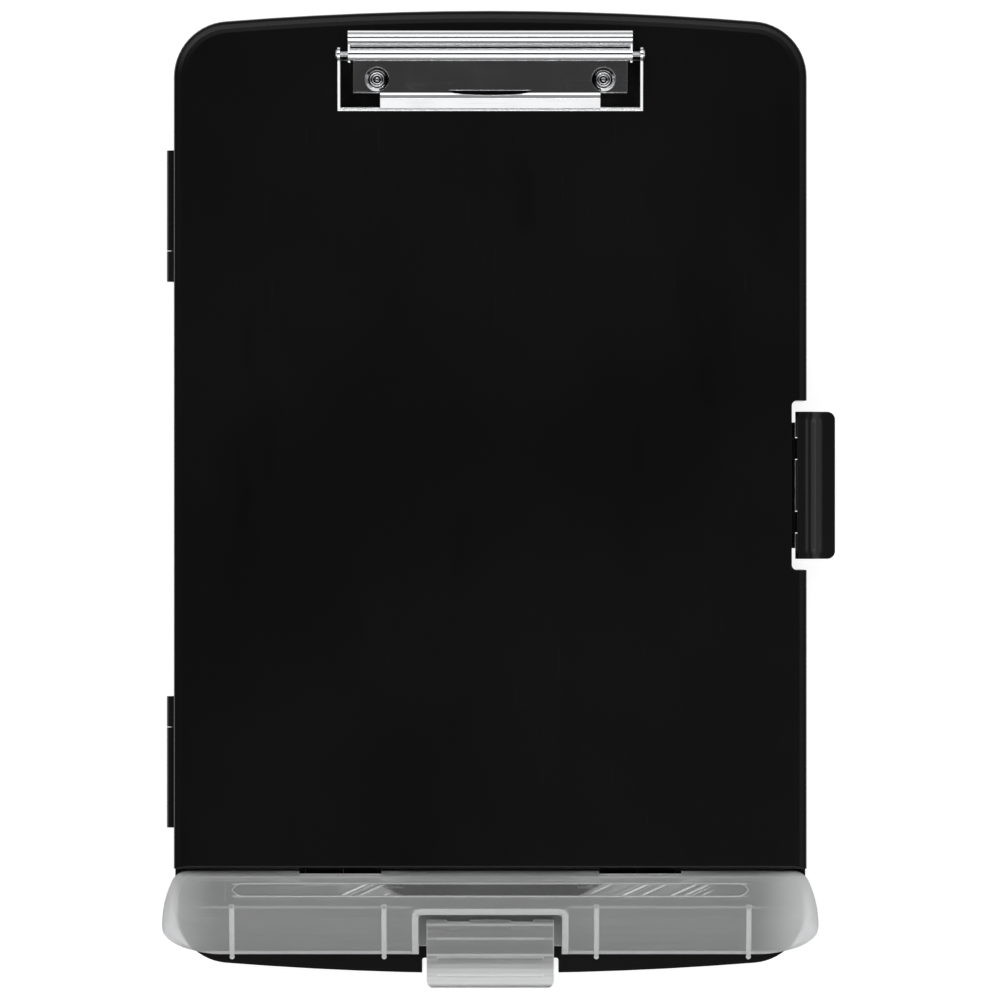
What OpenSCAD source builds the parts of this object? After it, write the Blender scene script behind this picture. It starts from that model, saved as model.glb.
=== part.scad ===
/* [Case] */
// Width of the case
case_w = 240; // [225:1:260]
// Length of the case at its middle, where the ends bow out furthest
case_l = 366; // [350:1:390]
// Depth of the tray, from its back face to its rim
tray_h = 20; // [18:0.5:30]
// Depth of the cover
cover_h = 8; // [7.5:0.5:12]
// Thickness of the moulded side walls
wall = 2.2; // [1.8:0.1:2.6]
// Thickness of the tray floor
floor_t = 2; // [1.6:0.1:3]
// Thickness of the cover's writing surface
cover_t = 2.4; // [2:0.1:3]
// Radius of the four case corners in plan
corner_r = 21; // [16:1:28]
// Radius of the bowed top and bottom ends
bow_r = 1270; // [1000:10:1800]
// Width of the rounded edge round the back face
back_round = 1.8; // [0.6:0.2:2]
// Width of the rolled edge round the cover's top face
cover_round = 4.5; // [2:0.5:6]
// Distance from the case's bottom end up to the cover's bottom edge
pen_zone = 40.1; // [38:0.1:46]

/* [Cover hinge] */
// Radius of the hinge knuckles
knuckle_r = 2.6; // [2.3:0.1:2.8]
// Radius of the hinge pins
hinge_pin_r = 1.2; // [0.9:0.1:1.4]
// Distance from the case's top end down to the middle of the upper hinge
upper_hinge_drop = 77.6; // [60:0.1:90]
// Distance from the case's bottom end up to the middle of the lower hinge
lower_hinge_rise = 80.6; // [70:0.1:90]
// Length of each hinge
hinge_l = 50; // [40:1:60]
// Length of the tray's own knuckle in each hinge
tray_knuckle_l = 11.6; // [8:0.1:20]

/* [Side latch] */
// Length of the side latch along the case
side_latch_l = 56; // [40:1:64]
// Middle of the side latch
side_latch_y = 2.9; // [-10:0.1:20]
// Space between each end of a latch and its recess
latch_side_gap = 4.2; // [3:0.1:6]
// Depth of the side latch's recess in the case wall
side_recess_d = 5.4; // [4.5:0.1:6]
// Radius of the latch barrels
latch_barrel_r = 2.3; // [2:0.1:2.6]
// Radius of the latch pins
latch_pin_r = 0.8; // [0.7:0.1:1]
// Thickness of the latch plates
latch_t = 1.8; // [1.4:0.1:2.2]

/* [Pen lid] */
// Half of the lid's greatest width
lid_half_w = 125; // [122:0.5:136]
// Length of the lid from its back edge to its front edge
lid_l = 31.8; // [30:0.1:34]
// Thickness of the lid
lid_t = 1.5; // [1.2:0.1:1.8]
// How far the lid's top face lies below the cover's top face
lid_drop = 0.5; // [0:0.1:1]
// Radius of the rolled back edge, which is centred on the lid's hinge
lid_back_r = 3.8; // [3.6:0.1:4]
// Length of each of the tray's knuckles for the lid
lid_knuckle_l = 30.8; // [24:0.2:36]
// Distance from the lid's middle to the middle of each of these knuckles
lid_knuckle_x = 57; // [50:0.5:70]
// Radius of the lid's hinge pins
lid_pin_r = 1; // [0.8:0.1:1.2]
// Length of the groove along the lid
groove_l = 197.4; // [150:1:200]
// Width of the groove
groove_w = 4.9; // [4:0.1:5.2]
// Depth of the groove
groove_d = 0.8; // [0.4:0.1:0.9]

/* [Pen latch] */
// Width of the pen latch
pen_latch_w = 48.4; // [40:0.2:54]
// Reach of the pen latch from its pin to its tip
pen_latch_reach = 24.1; // [23:0.1:26]
// Distance from the lid's back edge to the pen latch's pin
pen_latch_setback = 20.8; // [20:0.1:22]

/* [Clip] */
// Overall width of the clip's base plate
clip_w = 116; // [104:1:124]
// Distance between the two rivets
rivet_pitch = 86; // [78:1:88]
// Distance from the case's top end down to the clip's pivot
clip_pivot_drop = 16.4; // [15:0.1:20]
// Height of the clip's pivot above the cover
clip_pivot_h = 3.4; // [3.3:0.1:4]
// Thickness of the base plate
base_plate_t = 1; // [0.8:0.1:1.1]
// Thickness of the clamp's sheet
clamp_t = 0.8; // [0.6:0.1:1]
// Radius of the rolled thumb bar, to the middle of its sheet
roll_r = 2.3; // [2:0.1:2.4]
// Width of the jaw
jaw_w = 83.6; // [60:0.2:84]
// Radius of the pivot rod
rod_r = 1; // [0.8:0.1:1.1]
// Radius of the spring wire
wire_r = 0.4; // [0.3:0.05:0.45]
// Number of turns in each spring
spring_turns = 6; // [4:1:9]
// Distance from the clip's middle to each spring
spring_x = 24; // [16:1:30]
// Radius of the rivet shanks
rivet_r = 1.9; // [1.6:0.1:2.1]

/* [Clearances] */
// Gap between parts that swing past each other
swing_gap = 0.3; // [0.25:0.05:0.4]
// Gap between a pin and its bore, on the radius
pin_gap = 0.05; // [0.03:0.01:0.08]

/* [Hidden] */
$fn = 64;

// Colours
black = "#151515";
frosted = [0.78, 0.8, 0.82, 0.55];
chrome = "#c8ccd0";
steel = "#8c9096";

// Cut overlap, and a size larger than the whole case
eps = 0.02;
far = 600;

// Levels
seam_z = tray_h + swing_gap;
cover_top = seam_z + cover_h;
cover_end_y = -case_l / 2 + pen_zone;
partition_y0 = cover_end_y;
shelf_t = 2;
shelf_y = cover_end_y - 29.1;

// Cover hinge
hinge_x = -case_w / 2 - 2 * swing_gap;
hinge_z = tray_h + swing_gap / 2;
upper_hinge_y = case_l / 2 - upper_hinge_drop;
lower_hinge_y = lower_hinge_rise - case_l / 2;

// Side latch and its recess
side_wall_x = case_w / 2 - side_recess_d;
side_latch_x = side_wall_x + latch_barrel_r + 1.4;
side_latch_z = cover_top - latch_barrel_r - 1;
side_recess_l = side_latch_l + 2 * latch_side_gap;
lug_w = 8;
lug_r = latch_pin_r + 0.65;
lug_post_t = 1.8;
lug_post_out = 0.6;

// Pen lid
lid_top = cover_top - lid_drop;
lid_bottom = tray_h + swing_gap;
lid_axis_y = cover_end_y - 0.9 - lid_back_r;
lid_axis_z = lid_top - lid_back_r;
lid_back_y = lid_axis_y + lid_back_r;
lid_front_y = lid_back_y - lid_l;
lid_eye_r = lid_pin_r + 1.2;

// Pen latch and its recesses in the lid and in the tray
recess_floor = lid_top - 5.5;
pen_latch_y = lid_back_y - pen_latch_setback;
pen_latch_z = recess_floor + latch_barrel_r + 0.3;
pen_recess_w = pen_latch_w + 2 * latch_side_gap;
pen_recess_back = pen_latch_y + latch_barrel_r + 1.9;
pen_recess_front = lid_front_y + 3.1;
pen_wall_y = lid_front_y - 1.5;

// Clip
clip_y = case_l / 2 - clip_pivot_drop;
clip_z = cover_top + clip_pivot_h;
rivet_y = clip_y - 9.6;
flange_t = 1;
washer_r = 4.55;
washer_t = 0.8;
clamp_w = clip_w - 8;
web_w = clamp_w - 4;
web_rise = 1.2;
web_slope = 4;
shoulder_r = rod_r + 2 * wire_r + pin_gap * 4 + clamp_t / 2 + 0.2;

// ---------- outlines and general shapes ----------

// Centres of the bowed ends and of the corners
bow_y = case_l / 2 - bow_r;
corner_x = case_w / 2 - corner_r;
corner_y = bow_y + sqrt(pow(bow_r - corner_r, 2) - pow(corner_x, 2));

// Plan outline of the case, drawn in by a distance all round
module case_outline(inset = 0) {
    tangent_x = corner_x * (bow_r - inset) / (bow_r - corner_r);
    half_w = case_w / 2 - inset;
    translate([-half_w, -corner_y]) square([2 * half_w, 2 * corner_y]);
    for (sx = [-1, 1], sy = [-1, 1])
        translate([sx * corner_x, sy * corner_y]) circle(corner_r - inset);
    intersection() {
        translate([-tangent_x, -far]) square([2 * tangent_x, 2 * far]);
        translate([0, bow_y]) circle(bow_r - inset, $fn = 720);
        translate([0, -bow_y]) circle(bow_r - inset, $fn = 720);
    }
}

// The same outline as a polygon, for forms with a rounded edge
module case_polygon(inset) {
    lean = atan2(corner_x, corner_y - bow_y);
    corner_steps = 14;
    bow_steps = 12;
    quarter = arc([corner_x, corner_y], corner_r - inset, 0, 90 - lean, corner_steps);
    bow = arc([0, bow_y], bow_r - inset, 90 - lean, 90 + lean, bow_steps);
    top = concat(
        quarter,
        [for (i = [1:bow_steps - 1]) bow[i]],
        [for (i = [corner_steps:-1:0]) [-quarter[i][0], quarter[i][1]]]
    );
    polygon(concat(top, [for (point = top) -point]));
}

// Rectangle with round corners, centred
module rounded_rect(w, l, r) {
    square([w - 2 * r, l], center = true);
    square([w, l - 2 * r], center = true);
    for (sx = [-1, 1], sy = [-1, 1])
        translate([sx * (w / 2 - r), sy * (l / 2 - r)]) circle(r, $fn = 32);
}

// Part of the plan that the cover and the main compartment fill
module cover_plan(inset = 0, end_inset = 0) {
    difference() {
        intersection() {
            case_outline(inset);
            translate([-far / 2, cover_end_y + end_inset]) square([far, far]);
        }
        side_recess_plan(inset);
    }
}

// Recess in the case's right side, where the side latch lies
module side_recess_plan(grow = 0) {
    depth = 40;
    translate([side_wall_x - grow + depth / 2, side_latch_y])
        rounded_rect(depth, side_recess_l + 2 * grow, 2 + grow);
}

// Recess in the case's bottom end, where the pen latch lies
module pen_recess_plan(grow = 0) {
    depth = 30;
    translate([0, pen_wall_y + grow - depth / 2])
        rounded_rect(pen_latch_w + 3.6 + 2 * grow, depth, 1 + grow);
}

// Cylinder along X from x0 to x1
module bar_x(r, x0, x1, y, z) {
    translate([x0, y, z]) rotate([0, 90, 0]) cylinder(r = r, h = x1 - x0);
}

// Cylinder along Y from y0 to y1
module bar_y(r, y0, y1, x, z) {
    translate([x, y0, z]) rotate([-90, 0, 0]) cylinder(r = r, h = y1 - y0);
}

// Extrudes a (Y, Z) profile along X, centred
module along_x(length) {
    rotate([90, 0, 90]) translate([0, 0, -length / 2]) linear_extrude(length) children();
}

// Pie slice that covers the angles from a0 to a1
module slice(r, a0, a1) {
    steps = ceil((a1 - a0) / 40);
    polygon(concat([[0, 0]], [
        for (i = [0:steps]) let (a = a0 + (a1 - a0) * i / steps) 2 * r * [cos(a), sin(a)]
    ]));
}

// Sheet or plate in section: a list of moves, each [length] or [radius, turn]
module sheet_path(at, heading, moves, t, i = 0) {
    if (i < len(moves)) {
        move = moves[i];
        if (len(move) == 1) {
            next = at + move[0] * [cos(heading), sin(heading)];
            translate(at) rotate(heading) translate([-eps, -t / 2]) square([move[0] + 2 * eps, t]);
            sheet_path(next, heading, moves, t, i + 1);
        } else {
            r = move[0];
            turn = move[1];
            side = sign(turn);
            centre = at + side * r * [-sin(heading), cos(heading)];
            from = heading - side * 90;
            next = centre + r * [cos(from + turn), sin(from + turn)];
            translate(centre) intersection() {
                difference() {
                    circle(r + t / 2, $fn = 48);
                    circle(r - t / 2, $fn = 48);
                }
                slice(r + t, min(from, from + turn) - 0.2, max(from, from + turn) + 0.2);
            }
            sheet_path(next, heading + turn, moves, t, i + 1);
        }
    }
}

// Points along an arc
function arc(centre, r, a0, a1, steps) =
    [for (i = [0:steps]) let (a = a0 + (a1 - a0) * i / steps) centre + r * [cos(a), sin(a)]];

// ---------- tray ----------

// Outer form of the tray, with a rounded edge round its back face
module tray_form() {
    steps = 4;
    hull() {
        for (i = [0:steps]) {
            a = 90 * i / steps;
            translate([0, 0, back_round * (1 - cos(a))])
                linear_extrude(eps) case_polygon(back_round * (1 - sin(a)));
        }
        translate([0, 0, tray_h - eps]) linear_extrude(eps) case_polygon(0);
    }
}

// One of the tray's knuckles for the pen lid, on a post that stands on the floor
module lid_post(x) {
    neck_t = 2.4;
    rib_t = 1.8;
    depth = partition_y0 - lid_axis_y + neck_t / 2;
    bar_x(lid_eye_r, x - lid_knuckle_l / 2, x + lid_knuckle_l / 2, lid_axis_y, lid_axis_z);
    translate([x - lid_knuckle_l / 2, lid_axis_y - neck_t / 2, floor_t - eps])
        cube([lid_knuckle_l, neck_t, lid_axis_z - floor_t]);
    for (side = [-1, 0, 1])
        translate([x + side * (lid_knuckle_l - rib_t) / 2 - rib_t / 2, lid_axis_y, floor_t - eps])
            cube([rib_t, depth, tray_h - floor_t - 1.2]);
}

// Ledge on a recess wall that a latch's hook reaches under
catch_t = 1.4;
side_catch_z = 14;
pen_catch_z = 16;
side_catch_d = 1.7;
pen_catch_d = 0.9;

module tray_catches() {
    translate([side_wall_x - eps, side_latch_y - side_latch_l / 2 + 4, side_catch_z])
        cube([side_catch_d + eps, side_latch_l - 8, catch_t]);
    translate([-pen_latch_w / 2 + 4, pen_wall_y - pen_catch_d, pen_catch_z])
        cube([pen_latch_w - 8, pen_catch_d + eps, catch_t]);
}

// Where the tray's own knuckle and the cover's knuckle start and end in each hinge
tray_knuckles = [
    [upper_hinge_y - hinge_l / 2, upper_hinge_y - hinge_l / 2 + tray_knuckle_l],
    [lower_hinge_y + hinge_l / 2 - tray_knuckle_l, lower_hinge_y + hinge_l / 2]
];
cover_knuckles = [
    [tray_knuckles[0][1] + swing_gap, upper_hinge_y + hinge_l / 2],
    [lower_hinge_y - hinge_l / 2, tray_knuckles[1][0] - swing_gap]
];

module knuckles(spans, r, grow = 0) {
    for (span = spans)
        bar_y(r, span[0] - grow, span[1] + grow, hinge_x, hinge_z);
}

module hinge_bores() {
    bore_r = hinge_pin_r + pin_gap;
    for (y = [upper_hinge_y, lower_hinge_y])
        bar_y(bore_r, y - hinge_l / 2 - 1, y + hinge_l / 2 + 1, hinge_x, hinge_z);
}

module base_tray() color(black) {
    difference() {
        union() {
            difference() {
                tray_form();
                translate([0, 0, -1]) linear_extrude(far / 10) side_recess_plan();
                translate([0, 0, -1]) linear_extrude(far / 10) pen_recess_plan();
                translate([0, 0, floor_t]) linear_extrude(tray_h) cover_plan(wall, wall);
                pen_trough();
                knuckles(cover_knuckles, knuckle_r + swing_gap, swing_gap);
            }
            knuckles(tray_knuckles, knuckle_r);
            lid_post(-lid_knuckle_x);
            lid_post(lid_knuckle_x);
            tray_catches();
        }
        hinge_bores();
        lid_pin_bores();
    }
}

// Space of the pen compartment, with a shelf under its front edge
module pen_trough() {
    translate([0, 0, floor_t]) linear_extrude(tray_h - floor_t - shelf_t) difference() {
        intersection() {
            case_outline(wall);
            translate([-far / 2, partition_y0 - far]) square([far, far]);
        }
        pen_recess_plan(wall);
    }
    translate([0, 0, floor_t]) linear_extrude(tray_h) intersection() {
        case_outline(wall);
        translate([-far / 2, shelf_y]) square([far, partition_y0 - shelf_y]);
    }
}

// ---------- cover ----------

// Outer form of the cover, with a rolled edge round its top face
module cover_form() {
    end_round = 1;
    edge = [
        for (a = [0:22.5:90])
            [cover_round * (1 - cos(a)), -2 + 2 * sin(a), end_round * (1 - cos(a))]
    ];
    hull() {
        translate([0, 0, seam_z]) linear_extrude(eps) rounded_end(-swing_gap, 0);
        for (step = edge)
            translate([0, 0, cover_top + step[1] - eps])
                linear_extrude(eps) rounded_end(step[0] - swing_gap, step[2]);
    }
}

module rounded_end(inset, end_inset) {
    intersection() {
        case_polygon(inset);
        translate([-far / 2, cover_end_y + end_inset]) square([far, far]);
    }
}

// Two lugs that carry the side latch's pin, each on a post and an arm from the recess wall
module side_lugs() {
    arm_h = 2;
    x1 = side_latch_x + lug_post_out;
    for (side = [-1, 1]) {
        y = side_latch_y + side * side_latch_l / 4;
        bar_y(lug_r, y - lug_w / 2, y + lug_w / 2, side_latch_x, side_latch_z);
        translate([x1 - lug_post_t, y - lug_w / 2, seam_z])
            cube([lug_post_t, lug_w, side_latch_z - seam_z]);
        translate([side_wall_x - eps, y - lug_w / 2, seam_z])
            cube([x1 - side_wall_x, lug_w, arm_h]);
    }
}

// Rim inside the cover's skirt that drops inside the tray and keeps the cover in line
module cover_rim() {
    rim_t = 1.3;
    rim_drop = 1.6;
    outer = wall + swing_gap;
    translate([0, 0, seam_z - swing_gap - rim_drop])
        linear_extrude(rim_drop + swing_gap + 1.6) difference() {
            cover_plan(outer, outer);
            cover_plan(outer + rim_t, outer + rim_t);
        }
    translate([0, 0, seam_z]) linear_extrude(1.6) difference() {
        cover_plan(wall - eps, wall - eps);
        cover_plan(outer + eps, outer + eps);
    }
}

module cover() color(black) {
    difference() {
        union() {
            difference() {
                cover_form();
                translate([0, 0, seam_z - 1]) linear_extrude(cover_top - cover_t - seam_z + 1)
                    cover_plan(wall, wall);
                translate([0, 0, seam_z - 1]) linear_extrude(far / 10) side_recess_plan();
            }
            cover_rim();
            knuckles(cover_knuckles, knuckle_r);
            side_lugs();
        }
        knuckles(tray_knuckles, knuckle_r + swing_gap, swing_gap);
        hinge_bores();
        bar_y(latch_pin_r + pin_gap, side_latch_y - side_latch_l / 2, side_latch_y + side_latch_l / 2,
            side_latch_x, side_latch_z);
        for (side = [-1, 1])
            translate([side * rivet_pitch / 2, rivet_y, seam_z])
                cylinder(r = rivet_r + pin_gap, h = cover_h + 1);
    }
}

module cover_pin(y) color(steel)
    bar_y(hinge_pin_r, y - hinge_l / 2 + 0.4, y + hinge_l / 2 - 0.4, hinge_x, hinge_z);

// ---------- latches ----------

// Latch in section, from its pin outwards: u points away from the hinge and v points up
module latch_section(moves, leg_u, leg_top, leg_drop, hook) {
    nose_r = 0.5;
    circle(latch_barrel_r);
    sheet_path([0, latch_barrel_r - latch_t / 2], 0, moves, latch_t);
    translate([leg_u, -leg_drop]) square([latch_t, leg_drop + leg_top]);
    translate([leg_u - hook, -leg_drop]) square([hook + eps, 1.2]);
    translate([leg_u - hook + nose_r, -leg_drop]) circle(nose_r, $fn = 24);
}

// Finger ribs: short bars that stand proud of the plate at each given place
module latch_ribs(places, length) {
    for (place = places)
        translate([place[0], length / 2, place[1]]) rotate([90, 0, 0])
            cylinder(r = place[2], h = length, $fn = 32);
}

// Latch body: extruded section with rounded outer corners in plan, cut back round the lugs
module latch(length, reach, moves, leg_u, leg_top, leg_drop, hook, ribs, lug_at, lug_l) {
    corner = 3;
    back = latch_barrel_r + 1;
    difference() {
        intersection() {
            union() {
                rotate([90, 0, 0]) translate([0, 0, -length / 2 - 1]) linear_extrude(length + 2)
                    latch_section(moves, leg_u, leg_top, leg_drop, hook);
                latch_ribs(ribs, length - 8);
            }
            translate([(reach - back) / 2, 0, -far / 4]) linear_extrude(far / 2)
                union() {
                    rounded_rect(reach + back, length, corner);
                    translate([-(reach + back) / 2, -length / 2]) square([back + 4, length]);
                }
        }
        rotate([-90, 0, 0]) translate([0, 0, -length])
            cylinder(r = latch_pin_r + pin_gap, h = 2 * length);
        for (side = [-1, 1])
            translate([0, side * lug_at + lug_l / 2 + swing_gap, 0]) rotate([90, 0, 0])
                linear_extrude(lug_l + 2 * swing_gap) lug_space();
    }
}

// Space for a lug inside a latch's barrel, open towards the lug's post for the whole swing
module lug_space() {
    reach = latch_barrel_r + 1;
    circle(lug_r + swing_gap);
    intersection() {
        circle(reach);
        slice(reach, 133, 296);
    }
}

// Side latch: reach, moves along its plate, leg and hook
side_latch_reach = 13;
side_flat = 0.8;
side_bend_r = 4;
side_fall = 50;
side_slope_l = 4.4;
side_turn_r = 2.5;
side_turn = 44;
side_tip_l = 4.8;
side_leg_u = 1.2;
side_leg_top = 0.4;
side_leg_drop = 12.4;
side_hook = 1.5;

module side_latch() color(black)
    translate([side_latch_x, side_latch_y, side_latch_z])
        latch(side_latch_l, side_latch_reach,
            [[side_flat], [side_bend_r, -side_fall], [side_slope_l], [side_turn_r, side_turn], [side_tip_l]],
            side_leg_u, side_leg_top, side_leg_drop, side_hook,
            [[1.9, 2.1, 0.5], [4.6, 0.3, 0.7], [7.3, -2.9, 0.5]], side_latch_l / 4, lug_w);

module side_latch_pin() color(steel)
    bar_y(latch_pin_r, side_latch_y - side_latch_l / 2 + 0.5, side_latch_y + side_latch_l / 2 - 0.5,
        side_latch_x, side_latch_z);

// Pen latch: moves along its plate, leg and hook
pen_flat = 6.4;
pen_bend_r = 15.7;
pen_fall = 33;
pen_slope_l = 4.4;
pen_turn_r = 4;
pen_turn = 25;
pen_tip_l = 1.8;
pen_lip_r = 2;
pen_lip = 40;
pen_leg_u = 14.2;
pen_leg_top = -0.8;
pen_leg_drop = 10.4;
pen_hook = 0.5;

module pen_latch() color(frosted)
    translate([0, pen_latch_y, pen_latch_z]) rotate([0, 0, -90])
        latch(pen_latch_w, pen_latch_reach,
            [
                [pen_flat], [pen_bend_r, -pen_fall], [pen_slope_l],
                [pen_turn_r, pen_turn], [pen_tip_l], [pen_lip_r, -pen_lip]
            ],
            pen_leg_u, pen_leg_top, pen_leg_drop, pen_hook,
            [[4.9, 2.2, 0.35], [12.4, 1.05, 0.6], [19.2, -3.1, 0.6]], pen_latch_w / 4, lug_w);

module pen_latch_pin() color(steel)
    bar_x(latch_pin_r, -pen_latch_w / 2 + 0.5, pen_latch_w / 2 - 0.5, pen_latch_y, pen_latch_z);

// ---------- pen lid ----------

// Right half of the lid's outline at its rim, from the back edge round to the front edge
widest_setback = 20.8;
lid_side_y = lid_back_y - widest_setback;
lid_slant = 63.4;
side_r = 39.2;
back_corner_r = 6.5;
front_corner_r = 4.5;
front_blend_r = 25;
side_c = [lid_half_w - side_r, lid_side_y];
back_drop = lid_back_y - back_corner_r - lid_side_y;
back_angle = asin(back_drop / (side_r - back_corner_r));
back_c = side_c + (side_r - back_corner_r) * [cos(back_angle), sin(back_angle)];
front_c = [lid_half_w - front_corner_r, lid_side_y];
slant_end = front_c + front_corner_r * [cos(lid_slant), -sin(lid_slant)];
blend_y = lid_front_y + front_blend_r;
blend_x = slant_end[0] - (slant_end[1] - blend_y + front_blend_r * sin(lid_slant)) * tan(lid_slant)
    - front_blend_r * cos(lid_slant);
arc_steps = 6;

lid_rim = concat(
    arc(back_c, back_corner_r, 90, back_angle, arc_steps),
    arc(side_c, side_r, back_angle, 0, arc_steps),
    arc(front_c, front_corner_r, 0, -lid_slant, arc_steps),
    arc([blend_x, blend_y], front_blend_r, -lid_slant, -90, arc_steps)
);
rim_angles = concat(
    [for (i = [0:arc_steps]) 90 + (back_angle - 90) * i / arc_steps],
    [for (i = [0:arc_steps]) back_angle * (1 - i / arc_steps)],
    [for (i = [0:arc_steps]) -lid_slant * i / arc_steps],
    [for (i = [0:arc_steps]) -lid_slant - (90 - lid_slant) * i / arc_steps]
);

// The lid's flat top is a long slot shape, from the hinge line to the start of the front slope
lid_flat_r = 4.95;
lid_flat_c = [lid_half_w - 15.5, lid_axis_y - lid_flat_r];

// Share of the way from the rim to the flat top at a height, at the back and at the front
lid_edge_z = lid_bottom + 1.7;
function back_share(z) = z < lid_axis_z ? 0
    : 1 - sqrt(max(0, 1 - pow((z - lid_axis_z) / lid_back_r, 2)));
function front_share(z) = z < lid_edge_z ? 0
    : 1 - pow(max(0, 1 - (z - lid_edge_z) / (lid_top - lid_edge_z)), 0.62);

function lid_level(z) = [
    for (i = [0:len(lid_rim) - 1])
        let (
            low = lid_rim[i],
            top = lid_flat_c + lid_flat_r * [cos(rim_angles[i]), sin(rim_angles[i])],
            weight = (low[1] - lid_front_y) / lid_l,
            share = weight * back_share(z) + (1 - weight) * front_share(z)
        )
        low + share * (top - low)
];

module lid_slab(z, inset) {
    half = lid_level(z);
    points = concat(half, [for (i = [len(half) - 1:-1:0]) [-half[i][0], half[i][1]]]);
    offset(delta = -inset) polygon(points);
}

// Domed form of the lid, or of the space under it
module lid_form(inset, drop, base_z) {
    rise = lid_top - lid_edge_z;
    hull() {
        translate([0, 0, base_z]) linear_extrude(eps) lid_slab(lid_bottom, inset);
        for (share = [0, 0.2, 0.4, 0.6, 0.8, 0.92, 1]) {
            z = lid_edge_z + rise * share;
            translate([0, 0, z - drop - eps]) linear_extrude(eps) lid_slab(z, inset);
        }
    }
}

// Space in the lid's front slope for the latch
module latch_pocket(grow = 0) {
    length = 40;
    width = pen_recess_w - 2 + 2 * grow;
    translate([0, pen_recess_back + grow - length / 2, recess_floor - grow])
        linear_extrude(far / 10) rounded_rect(width, length, 1.6 + grow);
}

// Raised rim round the latch's space, drawn as tall bars that the lid's form then trims
module pocket_rim() {
    rim_w = 2.2;
    length = 40;
    width = pen_recess_w - 2;
    translate([0, pen_recess_back + rim_w - length / 2, lid_bottom]) linear_extrude(20)
        rounded_rect(width + 2 * rim_w, length, 1.6 + rim_w);
}

// Pointed groove along the lid's flat top
groove_y = lid_axis_y - 3.3;
module groove() {
    tip_r = groove_w;
    translate([0, groove_y, lid_top - groove_d]) linear_extrude(5) intersection() {
        square([groove_l, groove_w], center = true);
        union() {
            square([groove_l - 2 * tip_r, groove_w], center = true);
            for (side = [-1, 1]) translate([side * (groove_l / 2 - tip_r), 0]) intersection() {
                translate([0, tip_r - groove_w / 2]) circle(tip_r);
                translate([0, groove_w / 2 - tip_r]) circle(tip_r);
            }
        }
    }
}

// Four upright ribs on the front slope, each with a round foot past the lid's edge
rib_x = [-98.3, -40.4, 40.4, 98.3];
module lid_ribs() {
    rib_w = 1.7;
    foot = 1.9;
    foot_z = lid_bottom + 0.6;
    intersection() {
        union() {
            for (x = rib_x)
                translate([x - rib_w / 2, lid_front_y - 5, lid_bottom]) cube([rib_w, 24, 20]);
            intersection() {
                pocket_rim();
                translate([-far / 2, lid_front_y, 0]) cube(far);
            }
        }
        translate([0, 0, 0.45]) lid_form(-0.3, 0, lid_bottom - 1);
    }
    for (x = rib_x) {
        translate([x - rib_w / 2, lid_front_y - foot + rib_w / 2, lid_bottom])
            cube([rib_w, foot + 2, 1.4]);
        translate([x, lid_front_y - foot + rib_w / 2, lid_bottom])
            cylinder(r = rib_w / 2 + 0.1, h = 1.4, $fn = 24);
    }
}

// The lid's own knuckles, one on each side of each of the tray's knuckles
module lid_knuckles() {
    length = 8;
    for (side = [-1, 1], end = [-1, 1]) {
        edge = side * lid_knuckle_x + end * (lid_knuckle_l / 2 + swing_gap);
        bar_x(lid_back_r - 0.9, min(edge, edge + end * length), max(edge, edge + end * length),
            lid_axis_y, lid_axis_z);
    }
}

module pen_latch_lugs() {
    for (side = [-1, 1]) {
        x = side * pen_latch_w / 4;
        bar_x(lug_r, x - lug_w / 2, x + lug_w / 2, pen_latch_y, pen_latch_z);
        translate([x - lug_w / 2, pen_latch_y - lug_post_out, recess_floor - 0.5])
            cube([lug_w, lug_post_t, pen_latch_z - recess_floor + 0.5]);
    }
}

module lid_pin_bores() {
    for (side = [-1, 1])
        bar_x(lid_pin_r + pin_gap, side * lid_knuckle_x - lid_knuckle_l / 2 - 9,
            side * lid_knuckle_x + lid_knuckle_l / 2 + 9, lid_axis_y, lid_axis_z);
}

module pen_lid() color(frosted) {
    difference() {
        union() {
            difference() {
                union() {
                    lid_form(0, 0, lid_bottom);
                    lid_ribs();
                }
                difference() {
                    lid_form(lid_t, lid_t, lid_bottom - 1);
                    latch_pocket(lid_t);
                    translate([0, groove_y, lid_top]) cube([groove_l + 4, groove_w + 2, 4.6], center = true);
                }
            }
            lid_knuckles();
        }
        latch_pocket();
        groove();
        // The front edge is set back beside the latch
        translate([-pen_recess_w / 2 + 1.2, pen_recess_front - 20, 0])
            cube([pen_recess_w - 2.4, 20, 60]);
        // The back rim is rounded about the hinge, so that it swings clear of the tray's rim
        translate([0, lid_axis_y, lid_axis_z]) along_x(far) difference() {
            translate([1, -far]) square(far);
            circle(lid_back_r);
        }
        // Room for the tray's knuckles and their necks
        for (side = [-1, 1]) {
            x0 = side * lid_knuckle_x - lid_knuckle_l / 2 - swing_gap;
            x1 = side * lid_knuckle_x + lid_knuckle_l / 2 + swing_gap;
            bar_x(lid_eye_r + swing_gap, x0, x1, lid_axis_y, lid_axis_z);
            translate([side * lid_knuckle_x, lid_axis_y, lid_axis_z]) along_x(x1 - x0)
                slice(6, -100, 41);
        }
        lid_pin_bores();
    }
    difference() {
        pen_latch_lugs();
        bar_x(latch_pin_r + pin_gap, -pen_latch_w, pen_latch_w, pen_latch_y, pen_latch_z);
    }
}

module pen_lid_pin(side) color(steel)
    bar_x(lid_pin_r, side * lid_knuckle_x - lid_knuckle_l / 2 - 8,
        side * lid_knuckle_x + lid_knuckle_l / 2 + 8, lid_axis_y, lid_axis_z);

// ---------- clip ----------

bead_r = 0.8;
plate_front = clip_y - 21.8;
plate_back = clip_y - 2.2;
ear_r = 2.8;

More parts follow.
